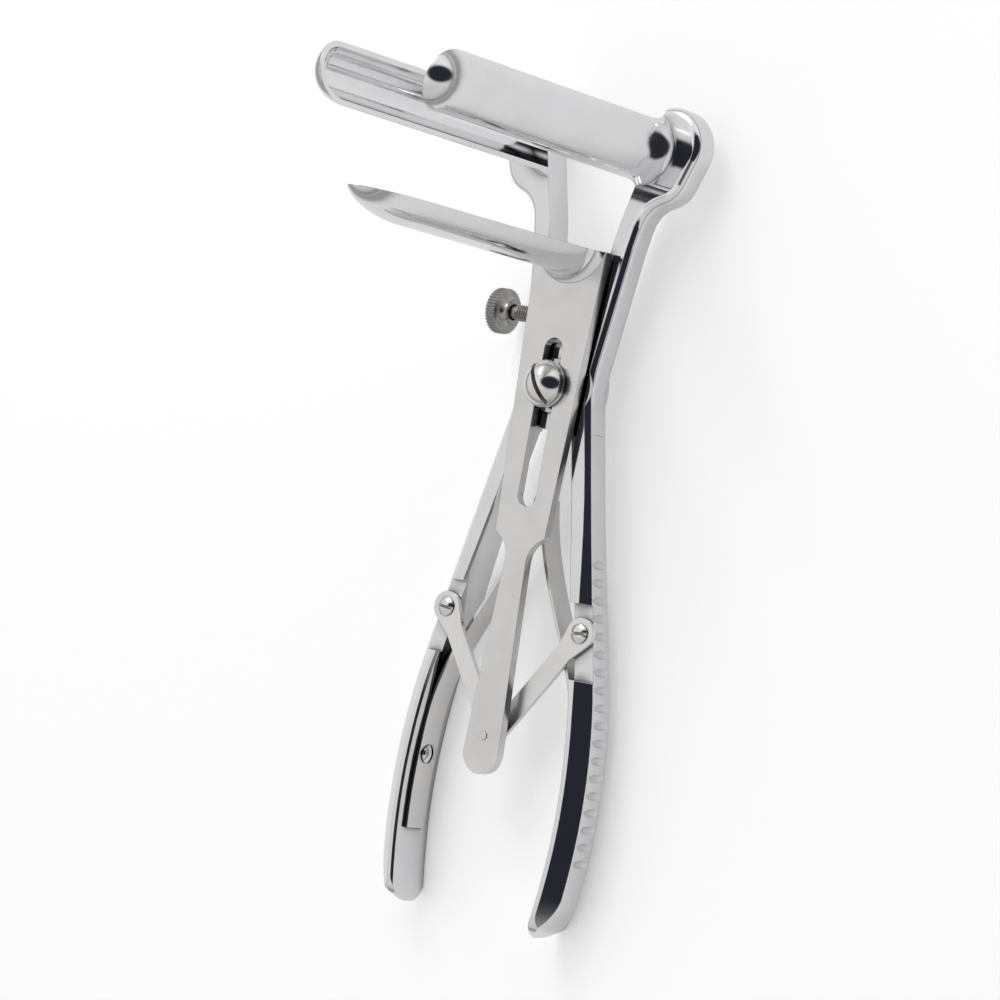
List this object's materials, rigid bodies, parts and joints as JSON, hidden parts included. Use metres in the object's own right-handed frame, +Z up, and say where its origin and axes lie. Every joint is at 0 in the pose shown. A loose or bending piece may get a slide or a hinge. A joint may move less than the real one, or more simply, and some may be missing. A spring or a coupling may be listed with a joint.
{
  "type": "anal speculum",
  "caption": "Self-holding anal speculum of polished steel: half-round blades, curved handles with finger notches, sliding plate with links, leaf springs and a thumb screw.",
  "frame": {"origin": "under the middle of the instrument as it lies on its back, on the plane of the grips' backs", "axes": "+X across the handles to the right one, +Y from the grips to the heads, +Z up along the blades"},
  "size_m": [0.0588, 0.1992, 0.0967],
  "materials": {
    "polished_steel": "mirror polished stainless steel",
    "satin_steel": "satin stainless steel",
    "spring_steel": "bright spring steel strip",
    "thread_steel": "knurled and threaded stainless steel"
  },
  "bodies": {
    "root": {"pivot_screw": "polished_steel", "pivot_washer": "polished_steel"},
    "left_side": {"left_lever": "polished_steel", "left_blade": "polished_steel", "left_link_screw": "polished_steel", "left_spring": "spring_steel", "left_spring_screw": "polished_steel"},
    "right_side": {"right_lever": "polished_steel", "right_blade": "polished_steel", "right_link_screw": "polished_steel", "right_spring": "spring_steel", "right_spring_screw": "polished_steel"},
    "slider": {"slide_plate": "satin_steel", "lower_blade": "polished_steel", "link_rivet": "satin_steel"},
    "left_bar": {"left_link": "satin_steel"},
    "right_bar": {"right_link": "satin_steel"},
    "thumb": {"thumb_screw": "thread_steel", "thumb_knob": "thread_steel"}
  },
  "joints": [
    {"name": "left_hinge", "type": "hinge", "parent": "root", "child": "left_side", "pos_m": [0, 0.0303, 0], "axis": [0, 0, 1], "range_deg": [-14.1, 6.7], "deforming": ["left_spring"]},
    {"name": "right_hinge", "type": "hinge", "parent": "root", "child": "right_side", "pos_m": [0, 0.0303, 0], "axis": [0, 0, -1], "range_deg": [-14.1, 6.7], "deforming": ["right_spring"]},
    {"name": "plate_slide", "type": "slide", "parent": "root", "child": "slider", "axis": [0, 1, 0], "range_m": [-0.0086, 0.0181]},
    {"name": "left_link_hinge", "type": "hinge", "parent": "left_side", "child": "left_bar", "pos_m": [-0.02, -0.0267, 0.0112], "axis": [0, 0, -1], "range_deg": [-44, 21.2]},
    {"name": "right_link_hinge", "type": "hinge", "parent": "right_side", "child": "right_bar", "pos_m": [0.02, -0.0267, 0.0099], "axis": [0, 0, 1], "range_deg": [-44, 21.2]},
    {"name": "thumb_slide", "type": "slide", "parent": "left_side", "child": "thumb", "axis": [1, 0, 0], "range_m": [-0.0086, 0.0042]}
  ],
  "couplings": [
    {"joint": "right_hinge", "follows": "left_hinge", "ratio": 1},
    {"joint": "plate_slide", "follows": "left_hinge", "m_per_rad": -0.0728},
    {"joint": "left_link_hinge", "follows": "left_hinge", "ratio": 3.1},
    {"joint": "right_link_hinge", "follows": "left_hinge", "ratio": 3.1},
    {"joint": "thumb_slide", "follows": "left_hinge", "m_per_rad": 0.0345}
  ]
}
